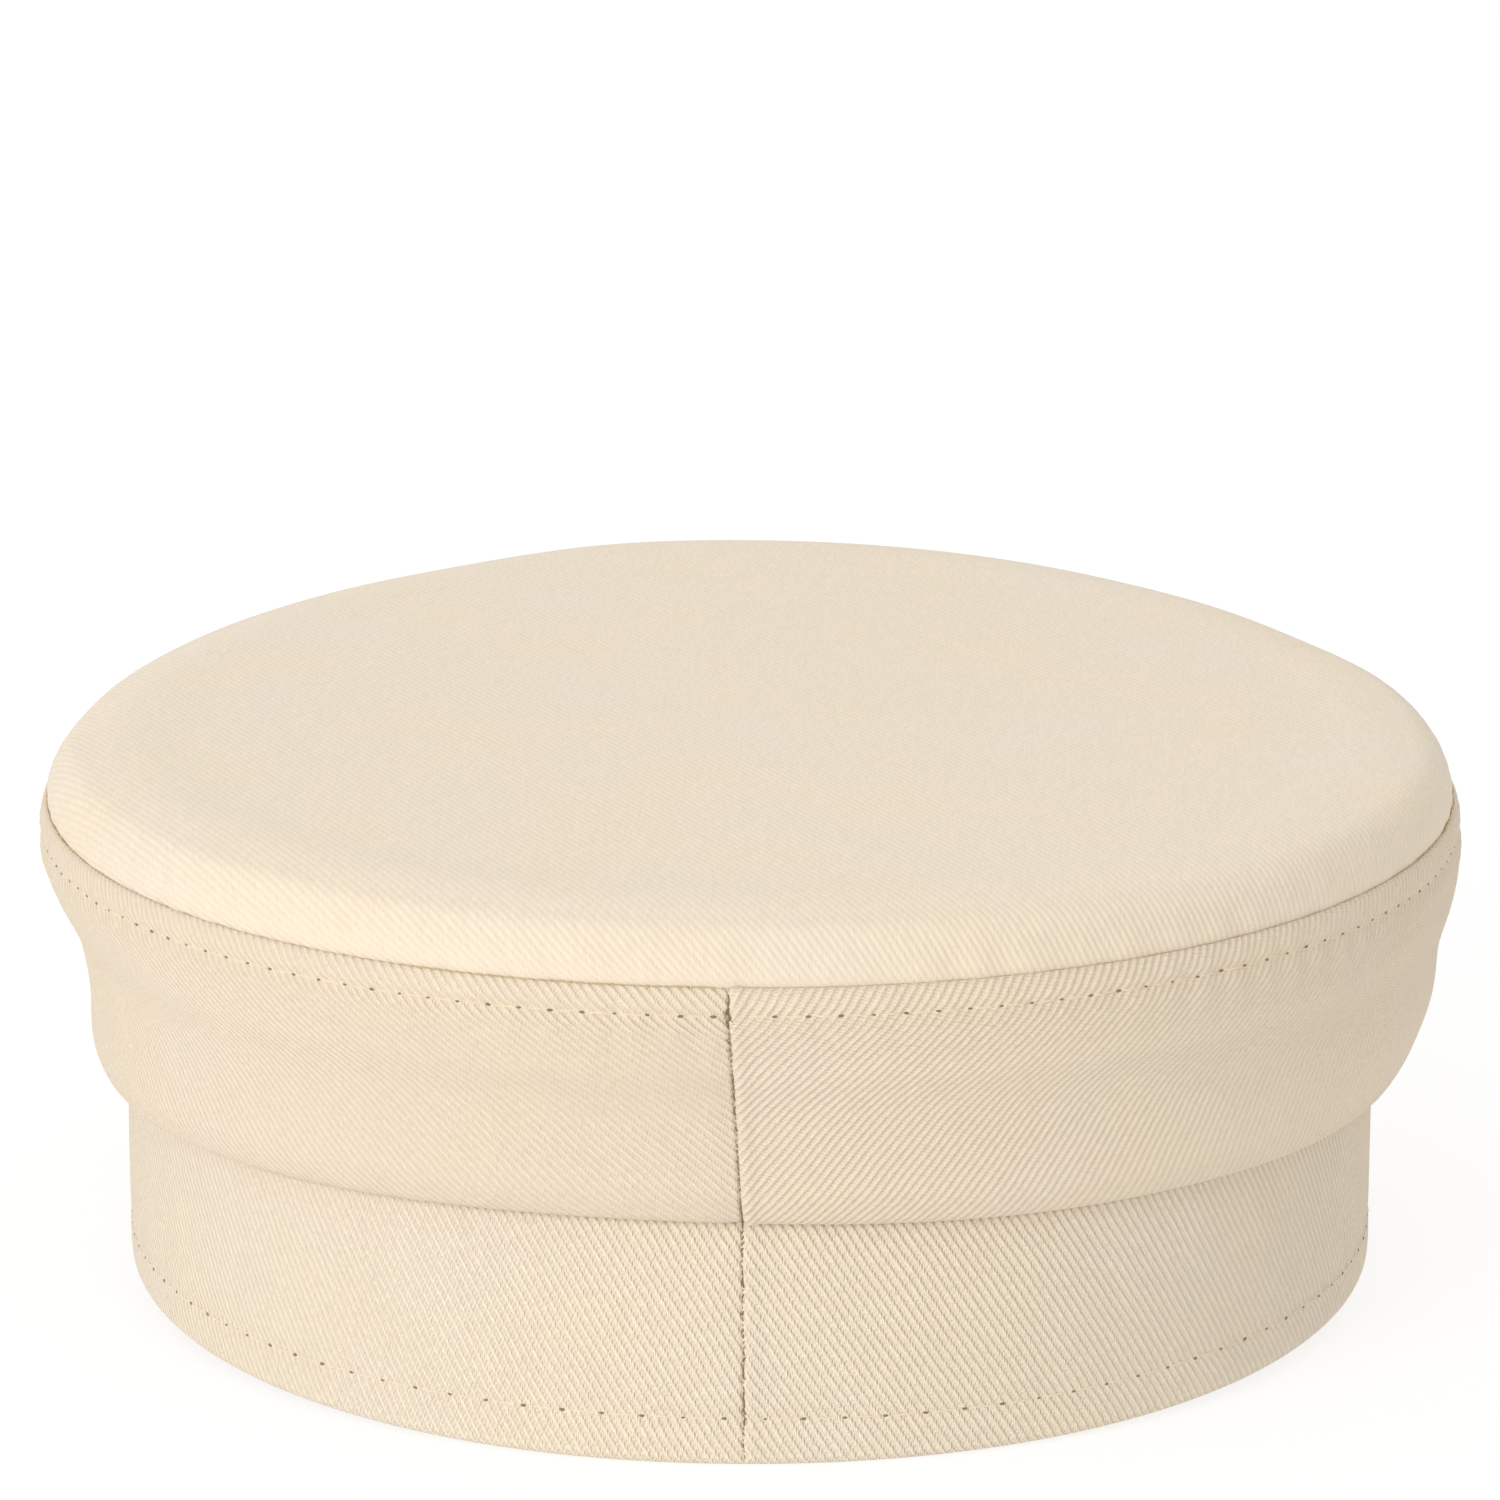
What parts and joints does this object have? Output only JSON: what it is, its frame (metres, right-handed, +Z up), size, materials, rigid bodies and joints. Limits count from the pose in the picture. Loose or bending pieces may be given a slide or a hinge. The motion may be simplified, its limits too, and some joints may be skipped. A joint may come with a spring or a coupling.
{
  "type": "baker boy cap",
  "caption": "Cotton twill cap with a round flat crown panel, a flared crown side, a stiff upright headband and a short peak, worn on the head and open below.",
  "frame": {"origin": "on the surface that the cap rests on, at the middle of its bounding box in plan", "axes": "+Y towards the front, where the peak is; +X towards the wearer's right; +Z up from the surface"},
  "size_m": [0.1974, 0.2594, 0.0844],
  "materials": {
    "crown_twill": "matt cream cotton twill",
    "headband_twill": "matt cream cotton twill, in stiffened layers",
    "peak_twill": "matt cream cotton twill over a stiff board"
  },
  "bodies": {
    "root": {"headband": "headband_twill", "crown_side": "crown_twill", "crown_top": "crown_twill", "peak": "peak_twill"}
  },
  "joints": []
}
